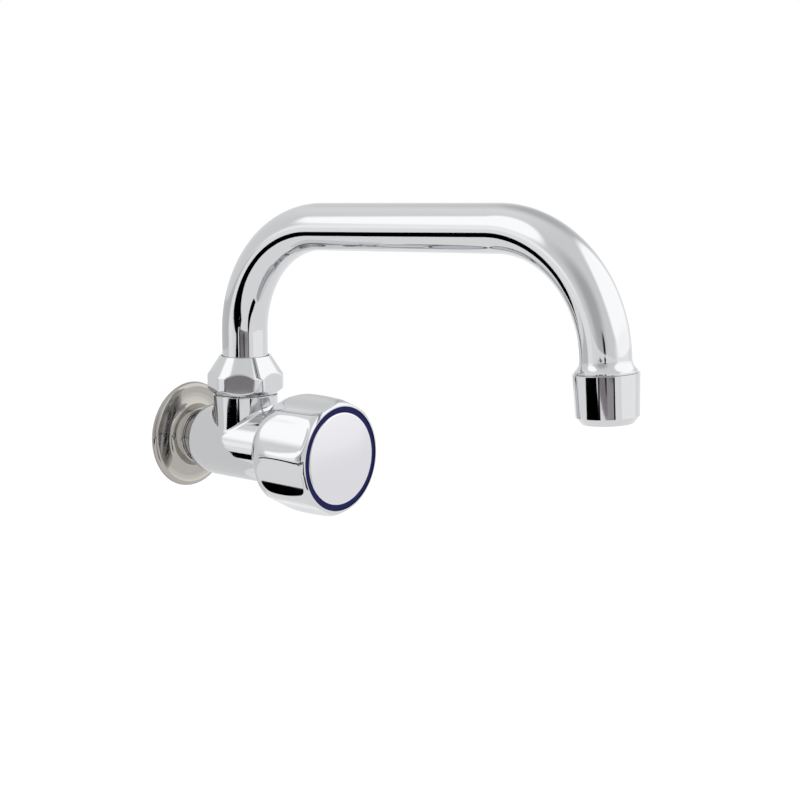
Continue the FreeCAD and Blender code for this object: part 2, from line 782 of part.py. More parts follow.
def make_spindle():
    """Spindle with a threaded sleeve inside, seal grooves and a square end; its rings and clip."""
    body = turned_piece("spindle", along_barrel, [
        ("0", "screw_bore_end"),
        ("screw_bore", "screw_bore_end"),
        ("screw_bore", "sleeve_start"),
        ("sleeve_radius", "sleeve_start"),
        ("sleeve_radius", "sleeve_chamber - sleeve_gap"),
        ("stem_radius", "sleeve_chamber - sleeve_gap"),
        ("stem_radius", "clip_start"),
        ("clip_groove", "clip_start"),
        ("clip_groove", "clip_start + clip_thick"),
        ("stem_radius - stem_relief", "clip_start + clip_thick"),
        ("stem_radius - stem_relief", "square_start"),
        ("0", "square_start"),
    ])
    grooves(body, "stem_groove_floor", "stem_bore", "stem_groove_width",
            ("inner_groove", "outer_groove"))
    raised(body, lambda sketch: polygon(sketch, 4, "square_side"),
           "square_start", "square_end - square_start")
    raised(body, lambda sketch: circle(sketch, "tap_hole"),
           "square_end - tap_depth", "tap_depth", cut=True)
    seal_ring("spindle_o_rings", along_barrel, "stem_groove_floor", "stem_bore",
              ("inner_groove", "outer_groove"), "stem_groove_width")
    turned_piece("clip_washer", along_barrel, [
        ("stem_bore", "head_end"),
        ("clip_washer_radius", "head_end"),
        ("clip_washer_radius", "clip_start"),
        ("stem_bore", "clip_start"),
    ])
    clip = turned_piece("spindle_clip", along_barrel, [
        ("clip_groove + seal_gap", "clip_start"),
        ("clip_radius", "clip_start"),
        ("clip_radius", "clip_start + clip_thick"),
        ("clip_groove + seal_gap", "clip_start + clip_thick"),
    ])
    raised(clip, lambda sketch: outline(sketch, [
        ("0", "-clip_opening / 2"),
        ("clip_radius + clip_thick", "-clip_opening / 2"),
        ("clip_radius + clip_thick", "clip_opening / 2"),
        ("0", "clip_opening / 2"),
    ]), "clip_start", "clip_thick", cut=True)


def make_valve():
    """Hexagon slider that the spindle draws in, with its rubber washer and brass nut."""
    slider = turned_piece("valve_slider", along_barrel, [
        ("0", "seat_face - stud_nut_height - stud_spare"),
        ("stud_radius", "seat_face - stud_nut_height - stud_spare"),
        ("stud_radius", "plate_start"),
        ("plate_radius", "plate_start"),
        ("plate_radius", "slider_start"),
        ("screw_bore - screw_gap", "slider_start"),
        ("screw_bore - screw_gap", "screw_end"),
        ("0", "screw_end"),
    ])
    raised(slider, lambda sketch: polygon(sketch, 6, "slider_flats"),
           "slider_start", "slider_end - slider_start")
    turned_piece("valve_washer", along_barrel, [
        ("stud_radius + stud_gap", "seat_face"),
        ("washer_radius", "seat_face"),
        ("washer_radius", "plate_start"),
        ("stud_radius + stud_gap", "plate_start"),
    ])
    nut = body_of("valve_nut", along_barrel)
    raised(nut, lambda sketch: polygon(sketch, 6, "stud_nut_flats"),
           "seat_face - stud_nut_height", "stud_nut_height")
    raised(nut, lambda sketch: circle(sketch, "stud_radius + stud_gap"),
           "seat_face - stud_nut_height", "stud_nut_height", cut=True)


def make_handle():
    """Hollow knob with scooped finger scallops, its insert and screw, the index ring and its cap."""
    knob = body_of("handle_knob", along_barrel)
    turned(knob, [
        ("mouth_radius", "knob_back"),
        ("knob_back_radius", "knob_back"),
        ("knob_swell_radius", "knob_swell", "back_bow", RIGHT),
        ("knob_radius", "knob_full", "side_bow", LEFT),
        ("knob_brow_radius", "knob_brow", "crown_bow", LEFT),
        ("knob_front_radius", "knob_front", "brow_bow", LEFT),
        ("index_radius + index_gap", "knob_front"),
        ("index_radius + index_gap", "index_floor"),
        ("head_hole", "index_floor"),
        ("head_hole", "insert_end"),
        ("insert_radius + press_gap", "insert_end"),
        ("insert_radius + press_gap", "socket_start"),
        ("socket_radius", "socket_start"),
        ("socket_radius", "cavity_end"),
        ("cavity_radius", "cavity_end"),
        ("cavity_radius", "cavity_start"),
        ("mouth_radius", "knob_back + mouth_depth"),
    ])
    scallop = scallop_cut(knob)
    polar(knob, scallop, "scallop_count")
    insert = turned_piece("handle_insert", along_barrel, [
        ("0", "insert_start"),
        ("insert_radius", "insert_start"),
        ("insert_radius", "insert_end"),
        ("0", "insert_end"),
    ])
    raised(insert, lambda sketch: polygon(sketch, 4, "square_side + 2 * press_gap"),
           "insert_start", "insert_web - insert_start", cut=True)
    raised(insert, lambda sketch: circle(sketch, "tap_hole + screw_clearance"),
           "insert_web", "insert_end - insert_web", cut=True)
    turned_piece("handle_screw", along_barrel, [
        ("0", "square_end - tap_depth + screw_spare"),
        ("tap_hole - seal_gap", "square_end - tap_depth + screw_spare"),
        ("tap_hole - seal_gap", "insert_end"),
        ("head_screw_radius", "insert_end"),
        ("head_screw_radius", "insert_end + head_screw_height - head_screw_chamfer"),
        ("head_screw_radius - head_screw_chamfer", "insert_end + head_screw_height"),
        ("0", "insert_end + head_screw_height"),
    ])
    turned_piece("index_ring", along_barrel, [
        ("cap_radius + index_gap", "index_floor"),
        ("index_radius", "index_floor"),
        ("index_radius", "index_face"),
        ("cap_radius + index_gap", "index_face"),
    ])
    turned_piece("index_cap", along_barrel, [
        ("cap_radius - cap_wall", "index_floor"),
        ("cap_radius", "index_floor"),
        ("cap_radius", "cap_edge - cap_edge_round"),
        ("cap_radius - cap_edge_round", "cap_edge", "cap_edge_round", LEFT),
        ("0", "cap_edge + cap_dome",
         "(pow(cap_radius - cap_edge_round; 2) + pow(cap_dome; 2)) / (2 * cap_dome)", LEFT),
        ("0", "cap_edge - cap_wall"),
        ("cap_radius - cap_wall", "cap_edge - cap_wall"),
    ])


def scallop_cut(knob):
    """One finger scallop: a wide cylinder beside the knob, with a rounded front end, taken out."""
    sketch = sketch_in(knob, "XZ_Plane")
    sketch.AttachmentOffset = Placement(Vector(), Rotation(Vector(0, 1, 0), 90))
    bind(sketch, ".AttachmentOffset.Rotation.Angle", "scallop_angle")
    outline(sketch, [
        ("scallop_floor", "scallop_start"),
        ("scallop_floor", "scallop_end - scallop_end_round"),
        ("scallop_floor + scallop_end_round", "scallop_end", "scallop_end_round", RIGHT),
        ("scallop_centre", "scallop_end"),
        ("scallop_centre", "scallop_start"),
    ])
    cut = knob.newObject("PartDesign::Groove", "scallop")
    cut.Profile = sketch
    axle = sketch.addGeometry(
        Part.LineSegment(Vector(value("scallop_centre"), value("scallop_start"), 0),
                         Vector(value("scallop_centre"), value("scallop_end"), 0)), True)
    hold(sketch, axle, 1, "scallop_centre", "scallop_start")
    hold(sketch, axle, 2, "scallop_centre", "scallop_end")
    cut.ReferenceAxis = (sketch, ["Axis0"])
    cut.Angle = 360
    sketch.Visibility = False
    return cut


def check_and_write():
    """Stop if anything failed, then write each piece to its own file."""
    DOC.recompute()
    for thing in DOC.Objects:
        if {"Invalid", "Error"} & set(thing.State):
            raise RuntimeError(f"{thing.Label} ({thing.Name}) failed: {thing.State}")
    os.makedirs("parts", exist_ok=True)
    for piece in PIECES:
        shape = piece.Shape
        if shape.isNull() or not shape.isValid() or not shape.Solids:
            raise RuntimeError(f"{piece.Label} has no valid solid")
        shape.exportStep(f"parts/{piece.Label}.step")
        print(f"{piece.Label:20} {len(shape.Solids)} solids {shape.Volume:10.1f} mm3")


make_tap_body()
make_wall_flange()
make_spout_nut()
make_swivel_joint()
make_spout_tube()
make_outlet()
make_screens()
make_headpart()
make_spindle()
make_valve()
make_handle()
check_and_write()
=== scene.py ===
import math

import bmesh
import bpy
import numpy as np
from bpy.props import FloatProperty, FloatVectorProperty, IntProperty, PointerProperty
from mathutils import Matrix


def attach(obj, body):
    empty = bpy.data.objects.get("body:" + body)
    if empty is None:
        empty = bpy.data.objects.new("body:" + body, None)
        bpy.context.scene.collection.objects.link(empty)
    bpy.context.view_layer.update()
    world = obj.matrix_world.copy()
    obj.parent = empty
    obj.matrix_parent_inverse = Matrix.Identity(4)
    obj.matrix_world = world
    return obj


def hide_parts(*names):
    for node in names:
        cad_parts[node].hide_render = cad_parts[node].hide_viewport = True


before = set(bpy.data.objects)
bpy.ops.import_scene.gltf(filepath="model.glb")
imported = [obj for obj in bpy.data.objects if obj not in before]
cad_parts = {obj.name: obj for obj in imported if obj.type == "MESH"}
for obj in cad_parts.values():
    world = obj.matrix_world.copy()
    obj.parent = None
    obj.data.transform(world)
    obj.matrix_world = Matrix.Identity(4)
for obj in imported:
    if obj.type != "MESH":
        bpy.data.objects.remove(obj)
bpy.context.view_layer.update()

bl_info = {
    "name": "Swivel spout bib tap",
    "version": (1, 0, 0),
    "blender": (4, 5, 0),
    "location": "View3D > Sidebar > Bib Tap",
    "description": (
        "Builds the finished surfaces of a wall tap with a swivel spout round its CAD frame"),
    "category": "Object",
}

MM = 0.001
WELD = 1e-7  # points closer than this are joined
SHARP_ANGLE = math.radians(32.0)  # faces that meet at more than this keep a crisp edge

# The camera, fitted to the photograph: round to the side, up, place in metres and focal length.
CAMERA_SIDE = math.radians(-50.024)
CAMERA_UP = math.radians(9.7102)
CAMERA_PLACE = (-0.608538, -0.633829, 0.164568)
CAMERA_LENS = 88.842

# The studio, in metres.
FLOOR = -0.41
SPOUT = (0.0, -0.12, 0.125)  # where the cards are aimed from
ROOM_LEVEL = 0.94

# Scales of the finishes' noise. A pattern is about 1 / scale metres across.
PEEL_SCALE = 330.0  # 3 mm, the faint waviness of polished metal below a plate
WIPED_SCALE = 90.0  # 11 mm, where a hand or a cloth has been
CLOUD_SCALE = 60.0  # 17 mm, uneven dye
WAVE_SPACING = 0.314  # from band to band of a wave texture at a scale of 1


def linear(hex_colour):
    """sRGB hex to linear RGBA."""
    parts = [int(hex_colour[i:i + 2], 16) / 255 for i in (1, 3, 5)]
    return [c / 12.92 if c <= 0.04045 else ((c + 0.055) / 1.055) ** 2.4 for c in parts] + [1.0]


def length(name, millimetres, description):
    """A length that a user can change, kept in metres."""
    return FloatProperty(
        name=name, description=description, default=millimetres * MM, min=0.0, soft_max=0.5,
        precision=5, subtype="DISTANCE", unit="LENGTH")


def angle(name, degrees, description):
    """An angle that a user can change, kept in radians."""
    return FloatProperty(
        name=name, description=description, default=math.radians(degrees), subtype="ANGLE",
        unit="ROTATION")


def colour(name, hex_colour, description):
    """A colour that a user can change, given as sRGB hex and kept linear."""
    return FloatVectorProperty(
        name=name, description=description, default=linear(hex_colour)[:3], size=3, min=0.0,
        max=1.0, subtype="COLOR")


class BIBTAP_PG_body(bpy.types.PropertyGroup):
    """Sizes of the cast body, the wall flange and the spout nut."""
    inlet_radius: length("Inlet thread", 10.48, "Radius over the inlet thread's ridges")
    thread_pitch: length("Thread pitch", 1.814, "From ridge to ridge of the half inch pipe thread")
    thread_depth: length("Thread depth", 1.0, "From a ridge's top to the groove's floor")
    shank_radius: length("Shank", 11.0, "Radius of the shank that the flange slides on")
    barrel_radius: length("Barrel", 15.8, "Radius of the barrel")
    barrel_end: length("Barrel length", 54.6, "From the wall to the barrel's front end")
    riser: length("Riser offset", 35.7, "From the wall to the spout's upright axis")
    boss_radius: length("Boss", 14.1, "Radius of the boss below the nut")
    boss_top: length("Boss height", 21.9, "Height of the boss's top face above the barrel's axis")
    boss_fillet: length("Boss fillet", 2.5, "Radius of the fillet between boss and barrel")
    nut_flats: length("Nut flats", 30.7, "Across the flats of the spout nut")
    nut_belt: length("Nut belt", 16.6, "Radius that the nut's corners are turned down to")
    nut_crown: length("Nut crown", 11.2, "Radius at the top of the nut's crown cone")
    nut_crown_slope: angle("Crown slope", 57.17, "How steeply the crown cone falls away")
    nut_skirt: length("Nut skirt", 13.8, "Radius of the nut's lower face")
    nut_skirt_slope: angle("Skirt slope", 41.35, "How steeply the skirt's chamfer rises")
    nut_bottom: length("Nut bottom", 22.3, "Height of the nut's lower face")
    nut_top: length("Nut top", 39.0, "Height of the nut's upper face")
    nut_turn: angle("Nut turn", 34.7, "Direction that one of the nut's flats faces, from +X")


class BIBTAP_PG_spout(bpy.types.PropertyGroup):
    """Sizes of the bent tube and the aerator."""
    tube_radius: length("Tube", 9.96, "Outer radius of the spout tube")
    tube_wall: length("Tube wall", 1.2, "Wall of the spout tube")
    tube_bottom: length("Tube bottom", 32.0, "Height of the tube's lower end, inside the nut")
    bend_radius: length("Bend", 48.0, "Radius of both bends, to the tube's centre line")
    bend_height: length("Bend height", 49.2, "Height where the first bend starts")
    run: length("Run", 92.4, "Length of the straight run")
    leg: length("Leg", 1.2, "Straight length after the second bend, above the flare")
    rise: angle("Rise", 2.6, "How steeply the run climbs")
    lean: angle("Lean", 3.4, "How far the outlet leans outwards")
    flare_height: length("Flare height", 5.0, "Height of the flared end")
    flare_radius: length("Flare", 12.0, "Radius of the flared end")


class BIBTAP_PG_handle(bpy.types.PropertyGroup):
    """Sizes of the knob, the ring and the cap."""
    scallops: IntProperty(
        name="Scallops", description="How many finger scallops run round the knob", default=8,
        min=3)
    scallop_turn: angle("Scallop turn", 106.5, "Direction of one scallop's middle, from +X to +Z")
    scallop_radius: length("Scallop", 28.4, "Radius of the cylinder that each scallop is cut by")
    scallop_floor: length("Scallop floor", 22.9, "From the knob's axis to a scallop's floor")
    scallop_end: length("Scallop end", 91.2, "From the wall to a scallop's front end")
    scallop_round: length("Scallop end rounding", 2.5, "Radius of a scallop's rounded front end")
    ridge_round: length("Ridge rounding", 1.1, "How softly the ridges between scallops are rounded")


class BIBTAP_PG_finish(bpy.types.PropertyGroup):
    """Colours of the finishes."""
    chrome: colour("Chrome", "#CBCCCE", "Bright chrome plate on brass")
    nickel: colour("Nickel", "#A8A5A0", "Bright nickel plate of the wall flange")
    ring_blue: colour("Ring blue", "#060B50", "Dyed gloss plastic of the ring for cold water")
    cap: colour("Cap", "#D4D4D8", "Satin chrome plate on the moulded cap")


def make_skin(name, shells, body, node, surface):
    """One object from closed grids of points, each rows x columns x 3 and joined to itself both
    ways round. Along the columns times along the rows points outwards."""
    points, faces, start = [], [], 0
    for grid in shells:
        rows, columns = grid.shape[:2]
        number = np.arange(rows * columns).reshape(rows, columns) + start
        right = np.roll(number, -1, axis=1)
        faces.append(np.stack(
            [number, right, np.roll(right, -1, axis=0), np.roll(number, -1, axis=0)],
            axis=-1).reshape(-1, 4))
        points.append(grid.reshape(-1, 3))
        start += rows * columns
    mesh = bpy.data.meshes.new(name)
    mesh.from_pydata(np.concatenate(points), [], np.concatenate(faces))
    work = bmesh.new()
    work.from_mesh(mesh)
    bmesh.ops.remove_doubles(work, verts=work.verts, dist=WELD)
    work.to_mesh(mesh)
    work.free()
    mesh.polygons.foreach_set("use_smooth", np.ones(len(mesh.polygons), bool))
    mesh.set_sharp_from_angle(angle=SHARP_ANGLE)
    mesh.materials.append(surface)
    piece = bpy.data.objects.new(name, mesh)
    bpy.context.scene.collection.objects.link(piece)
    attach(piece, body)
    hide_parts(node)
    return piece


def outline(*corners):
    """A closed outline in metres through corners (across, up, round, bow) in millimetres. A round
    is the radius of an arc that touches both sides of the corner, with its centre on their
    bisector. A bow is the radius of the arc that leads to the corner, above 0 where it turns
    left."""
    spots = np.array([(*c, *[0.0] * (4 - len(c))) for c in corners], float)
    place = spots[:, :2]
    back, ahead = np.roll(place, 1, axis=0) - place, np.roll(place, -1, axis=0) - place
    reach = np.stack([np.hypot(*back.T), np.hypot(*ahead.T)], axis=1)
    back, ahead = back / reach[:, :1], ahead / reach[:, 1:]
    half = np.arccos(np.clip((back * ahead).sum(1), -1, 1)) / 2
    parts = []
    for i, (across, up, round_, bow) in enumerate(spots):
        here, before = place[i], place[i - 1]
        if bow:
            middle, chord = (here + before) / 2, here - before
            left = np.array([-chord[1], chord[0]]) / np.hypot(*chord)
            away = math.sqrt(max(bow ** 2 - chord @ chord / 4, 0)) * math.copysign(1, bow)
            centre = middle + left * away
            parts.append(arc(centre, before, here)[1:])
        elif round_ and half[i] < math.pi / 2 - 1e-4:
            along = min(round_ / math.tan(half[i]), 0.499 * reach[i].min())
            bisector = (back[i] + ahead[i]) / np.hypot(*(back[i] + ahead[i]))
            centre = here + bisector * along / math.cos(half[i])
            parts.append(arc(centre, here + back[i] * along, here + ahead[i] * along))
        else:
            parts.append(here[None, :])
    return np.concatenate(parts) * MM


def arc(centre, start, end):
    """The shorter arc from start to end about centre, in steps of 8 degrees or 0.4 mm at most."""
    first, last = start - centre, end - centre
    sweep = math.atan2(first[0] * last[1] - first[1] * last[0], first @ last)
    count = max(
        3, math.ceil(abs(sweep) / math.radians(8)), math.ceil(abs(sweep) * np.hypot(*first) / 0.4))
    turned = np.linspace(0, sweep, count + 1)[:, None]
    side = np.array([-first[1], first[0]])
    return centre + np.cos(turned) * first + np.sin(turned) * side


def finer(line, step, rim=0.12 * MM):
    """The same closed outline with points no further apart than step, and one close to each end
    of a long side, so that shading stays flat up to the corners."""
    parts = []
    for start, end in zip(line, np.roll(line, -1, axis=0)):
        span = np.hypot(*(end - start))
        share = np.linspace(0, 1, max(1, math.ceil(span / step)) + 1)[:-1]
        if span > 5 * rim:
            share = np.unique(np.concatenate([share, [rim / span, 1 - rim / span]]))
        parts.append(start + (end - start) * share[:, None])
    return np.concatenate(parts)


def turned(line, columns, place, reshape=None):
    """A surface of revolution: every outline point (radius, height) goes once round the axis. The
    reshape function may change the radii, given the grids of radius, angle and height."""
    around = np.linspace(0, 2 * math.pi, columns, endpoint=False)
    radius, around = np.meshgrid(line[:, 0], around, indexing="ij")
    height = np.repeat(line[:, 1:], columns, axis=1)
    if reshape:
        radius = reshape(radius, around, height)
    return place(radius, around, height)


def on_barrel(radius, around, height):
    """Height runs out of the wall along the barrel, and the angle goes from +X to +Z."""
    return np.stack([radius * np.cos(around), -height, radius * np.sin(around)], axis=-1)


def on_riser(radius, around, height):
    """Height is up the riser, and the angle goes from +X to +Y."""
    riser = bpy.context.scene.bibtap_body.riser
    return np.stack([radius * np.cos(around), radius * np.sin(around) - riser, height], axis=-1)


def on_outlet(radius, around, height):
    """Height runs back up the tube from its end, which leans outwards."""
    sizes = bpy.context.scene.bibtap_spout
    riser = bpy.context.scene.bibtap_body.riser
    out, up = spout_line(sizes)[0][-1]
    forth = radius * np.sin(around)
    lean = sizes.lean
    return np.stack([
        radius * np.cos(around),
        forth * math.cos(lean) + height * math.sin(lean) - riser - out,
        height * math.cos(lean) - forth * math.sin(lean) + up,
    ], axis=-1)


def soft_least(a, b, soft):
    """The smaller of two, with the crease between them rounded over a width of soft."""
    blend = np.clip(0.5 + 0.5 * (b - a) / soft, 0, 1)
    return b + (a - b) * blend - soft * blend * (1 - blend)


def spout_line(sizes):
    """The tube's centre line in the spout's plane, out and up, and its headings: upright, arc,
    rising run, arc and leaning leg, each starting where the one before it ends."""
    first, second = math.pi / 2 - sizes.rise, math.pi / 2 + sizes.rise - sizes.lean
    runs = (
        (sizes.bend_height - sizes.tube_bottom, 0.0, 10),
        (sizes.bend_radius * first, first, 72),
        (sizes.run, 0.0, 12),
        (sizes.bend_radius * second, second, 72),
        (sizes.leg + sizes.flare_height, 0.0, 30),
    )
    point, heading = np.array([0.0, sizes.tube_bottom]), math.pi / 2
    points, headings = [point[None, :]], [np.array([heading])]
    for reach, bend, count in runs:
        share = np.arange(1, count + 1) / count
        headed = heading - bend * share
        if bend:
            bend_radius = sizes.bend_radius
            centre = point + bend_radius * np.array([math.sin(heading), -math.cos(heading)])
            track = centre + bend_radius * np.stack([-np.sin(headed), np.cos(headed)], axis=-1)
        else:
            ahead = np.array([math.cos(heading), math.sin(heading)])
            track = point + reach * share[:, None] * ahead
        points.append(track)
        headings.append(headed)
        point, heading = track[-1], headed[-1]
    return np.concatenate(points), np.concatenate(headings)


def direction(round_, up):
    """The direction so many degrees round to the right from the camera's side, and up."""
    turn, lift = CAMERA_SIDE - math.pi / 2 + math.radians(round_), math.radians(up)
    return math.cos(turn) * math.cos(lift), math.sin(turn) * math.cos(lift), math.sin(lift)


def add(tree, kind, inputs=None, **settings):
    """Adds a node, sets its settings and its inputs. An input that is given a socket is linked."""
    node = tree.nodes.new(kind)
    for key, setting in settings.items():
        setattr(node, key, setting)
    for key, given in (inputs or {}).items():
        if isinstance(given, bpy.types.NodeSocket):
            tree.links.new(given, node.inputs[key])
        else:
            node.inputs[key].default_value = given
    return node


def started(name, metallic, rough):
    """A node material with its shader, its output and its object coordinates."""
    made = bpy.data.materials.new(name)
    made.use_nodes = True
    tree = made.node_tree
    tree.nodes.clear()
    shader = add(tree, "ShaderNodeBsdfPrincipled", {"Metallic": metallic, "Roughness": rough})
    add(tree, "ShaderNodeOutputMaterial", {"Surface": shader.outputs[0]})
    return made, tree, shader, add(tree, "ShaderNodeTexCoord").outputs["Object"]


def plated(name, tint, rough, peel, wiped_by=1.8):
    """Bright plate: a mirror with a faint peel from the polished metal below, peel metres deep,
    and wiped patches where it is up to wiped_by times as rough."""
    made, tree, shader, place = started(name, 1.0, rough)
    shader.inputs["Base Color"].default_value = (*tint, 1.0)
    grain = add(tree, "ShaderNodeTexNoise", {
        "Vector": place, "Scale": PEEL_SCALE, "Detail": 1.0})
    wiped = add(tree, "ShaderNodeTexNoise", {
        "Vector": place, "Scale": WIPED_SCALE, "Detail": 4.0})
    gloss = add(tree, "ShaderNodeMapRange", {
        "Value": wiped.outputs["Fac"], "From Min": 0.3, "From Max": 0.7,
        "To Min": rough, "To Max": rough * wiped_by})
    bump = add(tree, "ShaderNodeBump", {
        "Strength": 1.0, "Distance": peel, "Height": grain.outputs["Fac"]})
    tree.links.new(gloss.outputs["Result"], shader.inputs["Roughness"])
    tree.links.new(bump.outputs["Normal"], shader.inputs["Normal"])
    return made


def moulded(name, dye, rough, grain_size):
    """Moulded plastic, fibre or rubber: a near even dye with a fine surface grain. Real grain is
    under 0.1 mm across, too fine to show, so it is drawn as coarse as grain_size."""
    made, tree, shader, place = started(name, 0.0, rough)
    cloud = add(tree, "ShaderNodeTexNoise", {
        "Vector": place, "Scale": CLOUD_SCALE, "Detail": 3.0})
    shade = add(tree, "ShaderNodeMixRGB", {
        "Fac": cloud.outputs["Fac"], "Color1": (*[c * 0.9 for c in dye[:3]], 1.0),
        "Color2": (*dye[:3], 1.0)})
    grain = add(tree, "ShaderNodeTexNoise", {
        "Vector": place, "Scale": 1 / grain_size, "Detail": 2.0})
    bump = add(tree, "ShaderNodeBump", {
        "Strength": 0.3, "Distance": grain_size * 0.05, "Height": grain.outputs["Fac"]})
    tree.links.new(shade.outputs["Color"], shader.inputs["Base Color"])
    tree.links.new(bump.outputs["Normal"], shader.inputs["Normal"])
    return made


def machined(name, tint, rough, pitch):
    """Turned or stamped metal: tool rings across the barrel's axis, pitch apart. Real rings are
    about 0.1 mm apart, too fine to show, so pitch is as coarse as they need to be."""
    made, tree, shader, place = started(name, 1.0, rough)
    rings = add(tree, "ShaderNodeTexWave", {
        "Vector": place, "Scale": WAVE_SPACING / pitch, "Distortion": 1.0, "Detail": 1.0},
        bands_direction="Y")
    shade = add(tree, "ShaderNodeMixRGB", {
        "Fac": rings.outputs["Fac"], "Color1": (*[c * 0.85 for c in tint[:3]], 1.0),
        "Color2": (*tint[:3], 1.0)})
    bump = add(tree, "ShaderNodeBump", {
        "Strength": 0.4, "Distance": pitch * 0.1, "Height": rings.outputs["Fac"]})
    tree.links.new(shade.outputs["Color"], shader.inputs["Base Color"])
    tree.links.new(bump.outputs["Normal"], shader.inputs["Normal"])
    return made


def chrome():
    """Chrome plate over polished brass: mirror bright and faintly blue, so that the eye sees the
    studio in it and little of the metal."""
    found = bpy.data.materials.get("chrome_plate_on_polished_brass")
    return found or plated(
        "chrome_plate_on_polished_brass", bpy.context.scene.bibtap_finish.chrome, 0.03, 2e-6)


class BIBTAP_OT_body(bpy.types.Operator):
    """Make the chromed body: threaded inlet, shank, barrel, boss and spigot"""
    bl_idname = "bibtap.body"
    bl_label = "Tap body"

    def execute(self, context):
        sizes = context.scene.bibtap_body
        shells = [self.barrel(sizes), self.boss(sizes)]
        make_skin("tap_body_chromed", shells, "tap", "tap_body", chrome())
        return {"FINISHED"}

    def barrel(self, sizes):
        """Turned barrel with its waterway. The inlet's radius drops by a clipped triangle wave of
        how far round the helix a point is, and the grooves fade out towards the shank."""
        inlet, shank, barrel, front = (size / MM for size in (
            sizes.inlet_radius, sizes.shank_radius, sizes.barrel_radius, sizes.barrel_end))
        line = outline(
            (6.0, -10.5, 0.3), (9.4, -10.5), (inlet, -9.6), (inlet, -0.2), (shank, 0.0),
            (shank, 13.6, 0.3), (13.0, 13.6, 0.2), (15.2, 15.8, 0.0, 2.2), (barrel, 21.0, 12.0),
            (barrel, front, 0.5), (10.5, front, 0.3), (10.5, 42.5), (9.4, 42.5), (9.4, 23.4),
            (7.5, 23.4), (7.5, 25.0, 0.2), (6.0, 25.0, 0.2))
        ridges = sizes.inlet_radius - 0.08 * MM
        threaded = (line[:, 1] < -0.1 * MM) & (line[:, 0] > ridges)
        cut = int(np.nonzero(threaded)[0][0])
        ramp = line[cut] + (line[cut + 1] - line[cut]) * np.linspace(0, 1, 74)[1:-1, None]
        line = np.concatenate([line[:cut + 1], ramp, line[cut + 1:]])
        line = finer(line, 2 * MM)

        def grooved(radius, around, height):
            inside = (height < -0.2 * MM) & (radius > ridges)
            turns = height / sizes.thread_pitch + around / (2 * math.pi)
            wave = np.clip(np.abs(turns % 1.0 * 2 - 1) * 1.5 - 0.25, 0, 1)
            fade = np.clip(-height / MM - 0.4, 0, 1)
            return radius - np.where(inside, wave * fade * sizes.thread_depth, 0)

        return turned(line, 240, on_barrel, grooved)

    def boss(self, sizes):
        """Boss and spigot, with a rolling ball fillet down to the barrel. The ball's centre keeps
        its own radius away from both cylinders, and each fillet arc runs from where the ball
        touches the boss to where it touches the barrel. The lowest row is sunk in the barrel."""
        around = np.linspace(0, 2 * math.pi, 240, endpoint=False)
        cos, sin = np.cos(around), np.sin(around)
        ball, top = sizes.boss_fillet, sizes.boss_top
        wide, deep = sizes.boss_radius + ball, sizes.barrel_radius + ball
        rise = np.sqrt(deep ** 2 - (wide * cos) ** 2)
        centre = np.stack([wide * cos, wide * sin, rise], axis=-1)
        on_boss = np.stack([sizes.boss_radius * cos, sizes.boss_radius * sin, rise], axis=-1)
        shrink = sizes.barrel_radius / deep
        on_tube = np.stack([wide * cos * shrink, wide * sin, rise * shrink], axis=-1)
        start, end = (on_boss - centre) / ball, (on_tube - centre) / ball
        spread = np.arccos(np.clip((start * end).sum(-1), -1, 1))[:, None]
        rows = [on_tube * [0.95, 1.0, 0.95]]
        for share in np.linspace(1, 0, 15):
            mix = np.sin((1 - share) * spread) * start + np.sin(share * spread) * end
            rows.append(centre + ball * (mix / np.sin(spread)))
        for share in (0.01, 0.1, 0.3, 0.6, 0.9):
            rows.append(on_boss + [0, 0, 1] * ((top - 0.3 * MM - on_boss[:, 2:]) * share))
        boss, high = sizes.boss_radius / MM, top / MM
        head = outline(
            (boss, high - 0.1), (boss, high, 0.25), (13.12, high), (13.12, 29.6, 0.5),
            (9.9, 29.6, 0.3), (9.9, 13.6))
        for radius, height in head:
            rows.append(np.stack([radius * cos, radius * sin, np.full_like(cos, height)], axis=-1))
        grid = np.stack(rows)
        grid[..., 1] -= sizes.riser
        return grid


class BIBTAP_OT_flange(bpy.types.Operator):
    """Make the pressed wall flange"""
    bl_idname = "bibtap.flange"
    bl_label = "Wall flange"

    def execute(self, context):
        line = outline(
            (22.3, 0.0), (23.0, 0.0, 0.1), (23.5, 0.9), (21.7, 2.88, 0.0, 2.2),
            (21.3, 2.82, 0.0, 0.35), (15.6, 2.8, 0.0, -16.0), (13.6, 4.1, 0.0, -3.0),
            (12.7, 7.5), (11.9, 8.3, 0.0, 0.8), (11.15, 8.3, 0.1), (11.15, 2.9), (15.6, 1.55),
            (20.4, 1.7))
        # Nickel: warmer, darker and softer than chrome, so that the flange stands back.
        surface = plated(
            "bright_nickel_on_pressed_steel", context.scene.bibtap_finish.nickel, 0.08, 2e-6)
        shells = [turned(finer(line, 1 * MM), 300, on_barrel)]
        make_skin("wall_flange_nickel", shells, "tap", "wall_flange", surface)
        return {"FINISHED"}


